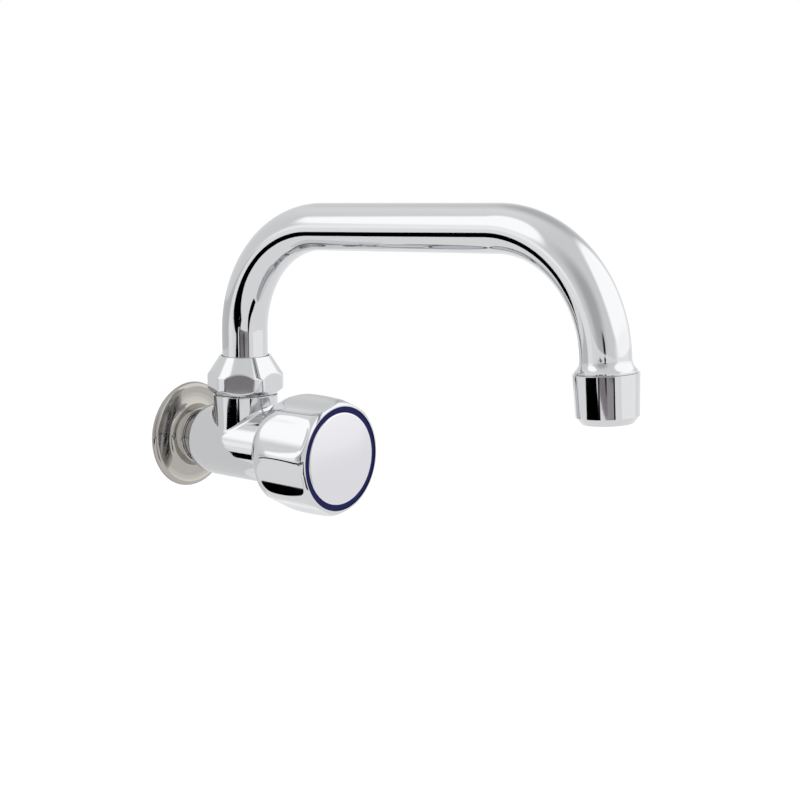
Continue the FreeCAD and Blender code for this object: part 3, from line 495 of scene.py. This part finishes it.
class BIBTAP_OT_nut(bpy.types.Operator):
    """Make the hexagon nut, turned to a crown cone, a belt and a chamfered skirt"""
    bl_idname = "bibtap.nut"
    bl_label = "Spout nut"

    def execute(self, context):
        sizes = context.scene.bibtap_body
        bottom, top = sizes.nut_bottom / MM, sizes.nut_top / MM
        outside = 30.0  # stands for the outer surface, whose radius hexagon() gives
        corner, edge = 0.2 * MM, 0.25 * MM
        side = [(outside, height) for height in np.linspace(bottom, top, 130)]
        line = outline(
            (13.22, bottom, 0.2), *side, (10.35, top, 0.25), (10.35, 33.6), (13.22, 33.6))

        def hexagon(radius, around, height):
            """The least of the hexagon, the belt, the crown cone and the skirt's chamfer, all
            rounded where they meet. A flat is its half width over the cosine of the angle from
            its middle."""
            off = (around - sizes.nut_turn + math.pi / 6) % (math.pi / 3) - math.pi / 6
            beside = math.pi / 3 - np.abs(off)
            flats = sizes.nut_flats / 2
            shape = soft_least(flats / np.cos(off), flats / np.cos(beside), corner)
            shape = soft_least(shape, sizes.nut_belt, corner)
            cone = sizes.nut_crown + (sizes.nut_top - height) / math.tan(sizes.nut_crown_slope)
            rise = height - sizes.nut_bottom
            skirt = sizes.nut_skirt + rise / math.tan(sizes.nut_skirt_slope)
            shape = soft_least(soft_least(shape, cone, edge), skirt, edge)
            return np.where(radius > (outside - 1) * MM, shape, radius)

        shells = [turned(line, 480, on_riser, hexagon)]
        make_skin("spout_nut_chromed", shells, "tap", "spout_nut", chrome())
        return {"FINISHED"}


class BIBTAP_OT_tube(bpy.types.Operator):
    """Make the bent spout tube with its flared end"""
    bl_idname = "bibtap.tube"
    bl_label = "Spout tube"

    def execute(self, context):
        sizes = context.scene.bibtap_spout
        line, heading = spout_line(sizes)
        left = np.concatenate([[0], np.cumsum(np.hypot(*np.diff(line, axis=0).T))])
        left = left[-1] - left
        outer = self.widened(sizes, left)
        # Inside, the flare opens in a 45 degree cone to a short cylinder for the bush.
        bore = sizes.tube_radius - sizes.tube_wall
        inner = np.where(left < 3.4 * MM, np.clip(12.0 * MM - left, bore, 10.8 * MM), bore)
        around = np.linspace(0, 2 * math.pi, 144, endpoint=False)
        shell = np.concatenate([
            self.rings(line, heading, outer, around),
            self.rings(line, heading, inner, around)[::-1]])
        make_skin("spout_tube_chromed", [shell], "spout", "spout_tube", chrome())
        return {"FINISHED"}

    def widened(self, sizes, left):
        """The outer radius by the length left to the end: even, then a hollow arc out to the
        flare, which ends in a small rounded rim."""
        rim, spread = 0.9 * MM, sizes.flare_radius - sizes.tube_radius
        bow = ((sizes.flare_height - rim) ** 2 + spread ** 2) / (2 * spread)
        up = np.clip(sizes.flare_height - left, 0, sizes.flare_height - rim)
        radius = sizes.tube_radius + bow - np.sqrt(bow ** 2 - up ** 2)
        soft = 0.08 * MM
        edge = np.clip(soft - left, 0, soft)
        return radius - (soft - np.sqrt(soft ** 2 - edge ** 2))

    def rings(self, line, heading, radius, around):
        """Circles of the given radii square to the centre line, all in the spout's own plane."""
        side = np.stack([-np.sin(heading), np.cos(heading)], axis=-1)
        out = line[:, None, 0] + radius[:, None] * np.sin(around) * side[:, None, 0]
        up = line[:, None, 1] + radius[:, None] * np.sin(around) * side[:, None, 1]
        across = radius[:, None] * np.cos(around)
        return np.stack([across, -out - bpy.context.scene.bibtap_body.riser, up], axis=-1)


class BIBTAP_OT_aerator(bpy.types.Operator):
    """Make the aerator's tapered shell"""
    bl_idname = "bibtap.aerator"
    bl_label = "Aerator"

    def execute(self, context):
        line = outline(
            (9.4, -19.0, 0.1), (9.9, -19.0, 0.3), (12.2, -16.2), (12.8, -0.05, 0.12),
            (11.1, -0.05, 0.1), (11.1, -9.6), (10.9, -9.6), (10.9, -17.6), (9.4, -17.6, 0.2))
        shells = [turned(finer(line, 2 * MM), 300, on_outlet)]
        make_skin(
            "aerator_shell_chromed", shells, "spout", "aerator_housing", chrome())
        return {"FINISHED"}


class BIBTAP_OT_knob(bpy.types.Operator):
    """Make the hollow knob with its finger scallops"""
    bl_idname = "bibtap.knob"
    bl_label = "Knob"

    def execute(self, context):
        sizes = context.scene.bibtap_handle
        line = outline(
            (14.4, 55.1, 0.2), (16.2, 55.1, 0.3), (23.1, 62.0, 0.0, -12.0), (25.5, 71.5, 0.0, 24.0),
            (25.1, 87.0, 0.0, 120.0), (22.7, 91.3, 0.0, 5.2), (22.25, 91.3), (22.25, 88.6),
            (4.5, 88.6), (4.5, 86.2), (7.03, 86.2), (7.03, 72.6), (9.6, 72.6), (9.6, 85.2),
            (20.7, 85.2), (20.7, 63.5), (14.4, 56.3))
        line = self.spaced(line, self.shows(line[:, 0], line[:, 1]), 0.26 * MM)

        def scalloped(radius, around, height):
            """The least of the turned shape and the scallops. A scallop's radius is where a ray
            from the knob's axis meets the cutting cylinder, whose own radius falls off along a
            quarter circle towards its front end."""
            pitch = 2 * math.pi / sizes.scallops
            off = (around - sizes.scallop_turn + pitch / 2) % pitch - pitch / 2
            away = sizes.scallop_floor + sizes.scallop_radius
            soft = sizes.scallop_round
            past = np.clip(height - sizes.scallop_end + soft, 0, soft)
            cutter = sizes.scallop_radius - soft + np.sqrt(soft ** 2 - past ** 2)
            inside = cutter ** 2 - (away * np.sin(off)) ** 2
            cut = np.where(inside > 0, away * np.cos(off) - np.sqrt(np.maximum(inside, 0)), 1.0)
            shape = soft_least(radius, cut, sizes.ridge_round)
            return np.where(self.shows(radius, height), shape, radius)

        # Chrome on plastic: as bright as on brass, a little softer and wavier.
        surface = plated(
            "chrome_plate_on_moulded_abs", context.scene.bibtap_finish.chrome, 0.04, 3e-6)
        shells = [turned(line, 400, on_barrel, scalloped)]
        make_skin("knob_chromed", shells, "handle", "handle_knob", surface)
        return {"FINISHED"}

    def shows(self, radius, height):
        """True on the outside: beyond the mouth, and either round the ring's recess or on the
        back cone, behind the hollow."""
        return (radius > 15 * MM) & ((radius > 22.3 * MM) | (height < 62.1 * MM))

    def spaced(self, line, outside, step):
        """The outline with points no further than step apart where it shows."""
        parts = []
        for i, start in enumerate(line):
            end = line[(i + 1) % len(line)]
            seen = outside[i] and outside[(i + 1) % len(line)]
            count = max(1, math.ceil(np.hypot(*(end - start)) / step)) if seen else 1
            parts.append(start + (end - start) * (np.arange(count) / count)[:, None])
        return np.concatenate(parts)


class BIBTAP_OT_index(bpy.types.Operator):
    """Make the blue ring and the cap in the knob's front"""
    bl_idname = "bibtap.index"
    bl_label = "Ring and cap"

    def execute(self, context):
        finish = context.scene.bibtap_finish
        # Deep even blue with little shine, which is how the ring reads in the photograph.
        blue = moulded("dyed_gloss_abs", finish.ring_blue, 0.25, 0.2 * MM)
        blue.node_tree.nodes["Principled BSDF"].inputs["Specular IOR Level"].default_value = 0.12
        ring = outline((19.85, 88.6), (22.2, 88.6), (22.2, 90.8, 0.25), (19.85, 90.8, 0.15))
        make_skin("index_ring_blue", [turned(finer(ring, 1 * MM), 240, on_barrel)], "handle",
                  "index_ring", blue)
        # Satin chrome: a pale even grey in which no reflection has an edge.
        satin = plated("satin_chrome_plate_on_moulded_abs", finish.cap, 0.16, 1e-6, 1.15)
        cap = outline(
            (18.6, 88.6), (19.8, 88.6), (19.8, 90.8), (18.9, 91.7, 0.0, 0.9),
            (0.0, 92.6, 0.0, 198.9), (0.0, 90.5), (18.6, 90.5))
        make_skin("index_cap_satin", [turned(finer(cap, 1 * MM), 240, on_barrel)], "handle",
                  "index_cap", satin)
        return {"FINISHED"}


class BIBTAP_OT_inside(bpy.types.Operator):
    """Give the pieces inside their finishes"""
    bl_idname = "bibtap.inside"
    bl_label = "Inner pieces"

    def execute(self, context):
        # Bare yellow metal with tool rings that catch the light.
        brass = machined("turned_brass", linear("#C9A45C"), 0.28, 0.25 * MM)
        # Cool grey metal, softer than plate.
        steel = machined("stamped_stainless_steel", linear("#B4B6B8"), 0.3, 0.3 * MM)
        # Milky off-white with a waxy sheen.
        nylon = moulded("moulded_nylon", linear("#E6E4DC"), 0.45, 0.3 * MM)
        # Near black and dull.
        rubber = moulded("moulded_nitrile_rubber", linear("#1C1C1E"), 0.6, 0.2 * MM)
        # Brick red, matt and slightly uneven.
        fibre = moulded("vulcanised_fibre", linear("#8E3226"), 0.7, 0.4 * MM)
        finishes = {
            brass: (
                "spout_ferrule", "outlet_bush", "bonnet", "spindle", "valve_slider", "valve_nut",
                "handle_insert"),
            steel: ("clip_washer", "spindle_clip", "aerator_screens", "handle_screw"),
            nylon: ("swivel_washer", "slide_ring", "aerator_cartridge"),
            rubber: ("spout_o_rings", "spindle_o_rings", "valve_washer", "aerator_washer"),
            fibre: ("head_washer",),
        }
        for surface, names in finishes.items():
            for name in names:
                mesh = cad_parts[name].data
                mesh.materials.clear()
                mesh.materials.append(surface)
        return {"FINISHED"}


class BIBTAP_OT_stage(bpy.types.Operator):
    """Set up the pale studio: camera, room light, floor, cards and display board"""
    bl_idname = "bibtap.stage"
    bl_label = "Studio"

    # What a metal surface mirrors above the floor, placed to suit the photograph: degrees round
    # to the right from the camera's side, degrees up, half width, half height, softness of the
    # edge, and brightness. A later patch lies over the earlier ones.
    PATCHES = {
        "glow over the left side": (-135, 60, 60, 45, 0.9, 1.08),
        "dim wall beside the camera": (-24, 16, 36, 44, 0.75, 0.583),
        "dim wall behind on the right": (165, 50, 40, 40, 0.8, 0.658),
        "strip light on the left": (-77, 33, 20, 28, 0.3, 1.58),
        "strip light's lower end": (-76, 0, 18, 16, 0.5, 1.33),
        "wide light's far end": (124, 14, 24, 26, 0.5, 1.36),
        "wide light on the right": (84, 30, 54, 40, 0.2, 1.56),
        "wide light's lower end": (80, 2, 54, 13, 0.5, 1.46),
        "darkness round the lens": (-12, 3, 9, 7, 0.9, 0.45),
        "lens": (-8.5, 0, 6, 10, 0.5, 0.02),
    }
    # Cards that only mirrors see, each a brightness and the bars that it is stretched across. A
    # bar's two ends are degrees round to the right from the camera's side, degrees up, both as seen
    # from the spout, and height in metres.
    CARDS = {
        "card_left": (0.0, (
            ((-122, -15.5, -0.4), (-122, -23.5, -0.4)),
            ((-111, -19.5, -0.4), (-111, -27, -0.4)),
            ((-99, -19.5, -0.4), (-99, -30.5, -0.4)),
            ((-87, -18.5, -0.4), (-87, -32.5, -0.4)),
            ((-81, -17, -0.4), (-81, -32.4, -0.4)),
            ((-75, -14.2, -0.34), (-75, -31.5, -0.4)),
            ((-68, -12.8, -0.3), (-68, -29.5, -0.36)),
            ((-56, -12.5, -0.23), (-56, -27.3, -0.3)),
            ((-45, -10.8, -0.18), (-45, -27, -0.22)),
            ((-33, -8.3, -0.15), (-33, -26, -0.16)))),
        "card_left_end": (0.0, (
            ((-33, -15.5, -0.15), (-33, -26, -0.16)), ((-23, -17, -0.14), (-23, -23.5, -0.14)))),
        "card_far_front": ((0.13, 0.12, 0.125), (
            ((-29, -6.9, -0.14), (-29, -11, -0.14)), ((20, -7.2, -0.14), (20, -11, -0.14)))),
        "card_dark_front": (0.04, (
            ((-29, -11, -0.14), (-29, -17, -0.14)), ((-23, -11, -0.14), (-23, -17, -0.14)))),
        "card_near_front": ((0.285, 0.26, 0.275), (
            ((-23, -11, -0.14), (-23, -15.4, -0.14)), ((0, -11, -0.14), (0, -15, -0.14)))),
        "card_near_right": ((0.42, 0.39, 0.41), (
            ((0, -11, -0.14), (0, -15, -0.14)), ((20, -11, -0.14), (20, -15, -0.14)))),
        "card_streak": (0.0, (
            ((-10, -5, -0.13), (-3, -5, -0.13)), ((-5, -13.5, -0.13), (-0.5, -13.5, -0.13)))),
        "card_right": (0.0, (
            ((19, -8, -0.4), (23.5, -8, -0.4)), ((15, -20, -0.4), (24.5, -20, -0.4)),
            ((12, -30, -0.4), (27, -30, -0.4)), ((12, -44, -0.4), (34, -40, -0.4)),
            ((16, -51, -0.4), (38, -50, -0.4)))),
        "pool_left": (1.16, (
            ((-86, -2.2, -0.4), (-86, -15, -0.4)), ((-80, -2.2, -0.4), (-80, -14, -0.4)),
            ((-60, -2.2, -0.4), (-62, -11, -0.4)))),
        "shade_left": (0.733, (
            ((-165, -2.2, -0.4), (-165, -13.5, -0.4)), ((-125, -2.2, -0.4), (-125, -13.5, -0.4)),
            ((-86, -2.2, -0.4), (-86, -13.5, -0.4)))),
        "pool_right": (1.24, (
            ((44, -2.2, -0.4), (46, -12, -0.4)), ((112, -2.2, -0.4), (106, -12, -0.4)))),
    }

    def execute(self, context):
        scene = context.scene
        scene.view_settings.view_transform = "Standard"
        self.camera(scene)
        self.room(scene)
        self.floor(scene)
        for name, (level, bars) in self.CARDS.items():
            self.card(scene, name, level, bars)
        self.board(scene)
        return {"FINISHED"}

    def camera(self, scene):
        """The photograph's camera: 50 degrees round to the side and looking down by 9.7 degrees."""
        data = bpy.data.cameras.new("camera")
        data.lens = CAMERA_LENS
        data.clip_start = 0.05
        camera = bpy.data.objects.new("camera", data)
        side, up = CAMERA_SIDE, CAMERA_UP
        back = np.array([
            math.sin(side) * math.cos(up), -math.cos(side) * math.cos(up), math.sin(up)])
        right = np.array([math.cos(side), math.sin(side), 0.0])
        axes = np.stack([right, np.cross(back, right), back], axis=1)
        turned_by = Matrix(axes.tolist()).to_4x4()
        camera.matrix_world = Matrix.Translation(CAMERA_PLACE) @ turned_by
        scene.collection.objects.link(camera)
        scene.camera = camera

    def room(self, scene):
        """White to the camera. Surfaces see a pale room with soft lights and darker patches. A
        patch is an ellipse on the sky, and its depth keeps it off the opposite side."""
        scene.world = bpy.data.worlds.new("pale_studio")
        scene.world.use_nodes = True
        tree = scene.world.node_tree
        tree.nodes.clear()
        toward = add(tree, "ShaderNodeTexCoord").outputs["Generated"]
        depth, level = 1.5, ROOM_LEVEL
        for name, (round_, up, wide, tall, soft, strength) in self.PATCHES.items():
            turn, lift = CAMERA_SIDE - math.pi + math.radians(round_), math.radians(up)
            middle = direction(round_, up)
            local = add(tree, "ShaderNodeMapping", {
                "Vector": toward, "Location": middle, "Rotation": (lift, 0.0, turn),
                "Scale": (math.sin(math.radians(wide)), depth, math.sin(math.radians(tall)))},
                vector_type="TEXTURE")
            away = add(tree, "ShaderNodeVectorMath", {0: local.outputs[0]}, operation="LENGTH")
            inside = add(tree, "ShaderNodeMapRange", {
                "Value": away.outputs["Value"], "From Min": 1.0, "From Max": 1.0 - soft},
                interpolation_type="SMOOTHSTEP")
            mixed = add(tree, "ShaderNodeMix", {0: inside.outputs[0], 2: level, 3: strength})
            mixed.label = name
            level = mixed.outputs[0]
        path = add(tree, "ShaderNodeLightPath")
        seen = add(tree, "ShaderNodeMath", {
            0: path.outputs["Is Camera Ray"], 1: path.outputs["Is Transmission Ray"]},
            operation="MAXIMUM")
        shown = add(tree, "ShaderNodeMix", {0: seen.outputs[0], 2: level, 3: 1.0})
        light = add(tree, "ShaderNodeBackground", {
            "Color": (1.0, 1.0, 1.0, 1.0), "Strength": shown.outputs[0]})
        add(tree, "ShaderNodeOutputWorld", {"Surface": light.outputs[0]})

    def floor(self, scene):
        """Pale matt floor well below the tap. A faint glow lifts it to white where the camera or
        a mirror sees it, and the tap's shadow still falls on it."""
        mesh = bpy.data.meshes.new("floor")
        half, grey, glow_level = 9.0, 0.8, 0.2
        mesh.from_pydata(
            [(x * half, y * half, FLOOR) for x, y in ((-1, -1), (1, -1), (1, 1), (-1, 1))], [],
            [(0, 1, 2, 3)])
        floor = bpy.data.objects.new("floor", mesh)
        scene.collection.objects.link(floor)
        made = bpy.data.materials.new("pale_floor")
        made.use_nodes = True
        tree = made.node_tree
        tree.nodes.clear()
        matt = add(tree, "ShaderNodeBsdfDiffuse", {"Color": (grey, grey, grey, 1.0)})
        path = add(tree, "ShaderNodeLightPath")
        seen = add(tree, "ShaderNodeMath", {
            0: path.outputs["Is Camera Ray"], 1: path.outputs["Is Glossy Ray"]},
            operation="MAXIMUM")
        seen = add(tree, "ShaderNodeMath", {
            0: seen.outputs[0], 1: path.outputs["Is Transmission Ray"]}, operation="MAXIMUM")
        lift = add(tree, "ShaderNodeMath", {
            0: seen.outputs[0], 1: glow_level}, operation="MULTIPLY")
        glow = add(tree, "ShaderNodeEmission", {"Strength": lift.outputs[0]})
        both = add(tree, "ShaderNodeAddShader", {0: matt.outputs[0], 1: glow.outputs[0]})
        add(tree, "ShaderNodeOutputMaterial", {"Surface": both.outputs[0]})
        mesh.materials.append(made)

    def card(self, scene, name, level, bars):
        """A card whose corners lie where the directions from the spout reach their heights."""
        spout = np.array(SPOUT)
        points = []
        for round_, up, height in (end for bar in bars for end in bar):
            ray = np.array(direction(round_, up))
            points.append(spout + ray * (height - spout[2]) / ray[2])
        faces = [(i, i + 1, i + 3, i + 2) for i in range(0, len(points) - 2, 2)]
        self.mirrored_only(scene, name, level, points, faces)

    def board(self, scene):
        """The pale board just behind the wall's face, its edge given across and up in millimetres,
        which only mirrors see."""
        level, behind = 0.874, 1 * MM
        edge = (
            (-53, -60), (60, -60), (60, 37), (-44, 37), (-47, 30), (-50, 20), (-53, 10),
            (-55.5, 0), (-56, -20), (-53, -30))
        points = [(across * MM, behind, up * MM) for across, up in edge]
        self.mirrored_only(scene, "display_board", level, points, [range(len(edge))])

    def mirrored_only(self, scene, name, level, points, faces):
        """A glowing card that neither the camera nor matt surfaces see."""
        mesh = bpy.data.meshes.new(name)
        mesh.from_pydata([[float(c) for c in p] for p in points], [], faces)
        card = bpy.data.objects.new(name, mesh)
        scene.collection.objects.link(card)
        made = bpy.data.materials.new(name)
        made.use_nodes = True
        made.node_tree.nodes.clear()
        tint = (*np.broadcast_to(level, 3).tolist(), 1.0)
        glow = add(made.node_tree, "ShaderNodeEmission", {"Color": tint})
        add(made.node_tree, "ShaderNodeOutputMaterial", {"Surface": glow.outputs[0]})
        mesh.materials.append(made)
        card.visible_camera = card.visible_diffuse = card.visible_shadow = False
        card.visible_transmission = False


class BIBTAP_PT_panel(bpy.types.Panel):
    """Sizes, finishes and steps of the bib tap"""
    bl_idname = "BIBTAP_PT_panel"
    bl_label = "Bib Tap"
    bl_space_type = "VIEW_3D"
    bl_region_type = "UI"
    bl_category = "Bib Tap"

    def draw(self, context):
        for group in GROUPS:
            box = self.layout.box()
            settings = getattr(context.scene, group)
            for key in settings.bl_rna.properties.keys():
                if key not in ("rna_type", "name"):
                    box.prop(settings, key)
        for step in STEPS:
            self.layout.operator(step.bl_idname)


GROUPS = {
    "bibtap_body": BIBTAP_PG_body,
    "bibtap_spout": BIBTAP_PG_spout,
    "bibtap_handle": BIBTAP_PG_handle,
    "bibtap_finish": BIBTAP_PG_finish,
}
STEPS = (
    BIBTAP_OT_body, BIBTAP_OT_flange, BIBTAP_OT_nut, BIBTAP_OT_tube, BIBTAP_OT_aerator,
    BIBTAP_OT_knob, BIBTAP_OT_index, BIBTAP_OT_inside, BIBTAP_OT_stage,
)


def register():
    """Add the classes, and give the scene its groups of sizes."""
    for kind in (*GROUPS.values(), *STEPS, BIBTAP_PT_panel):
        bpy.utils.register_class(kind)
    for name, kind in GROUPS.items():
        setattr(bpy.types.Scene, name, PointerProperty(type=kind))


def unregister():
    """Take away what register() added."""
    for name in GROUPS:
        delattr(bpy.types.Scene, name)
    for kind in reversed((*GROUPS.values(), *STEPS, BIBTAP_PT_panel)):
        bpy.utils.unregister_class(kind)


def main():
    """Build every piece and the studio."""
    register()
    bpy.ops.bibtap.body()
    bpy.ops.bibtap.flange()
    bpy.ops.bibtap.nut()
    bpy.ops.bibtap.tube()
    bpy.ops.bibtap.aerator()
    bpy.ops.bibtap.knob()
    bpy.ops.bibtap.index()
    bpy.ops.bibtap.inside()
    bpy.ops.bibtap.stage()


if __name__ == "__main__":
    main()
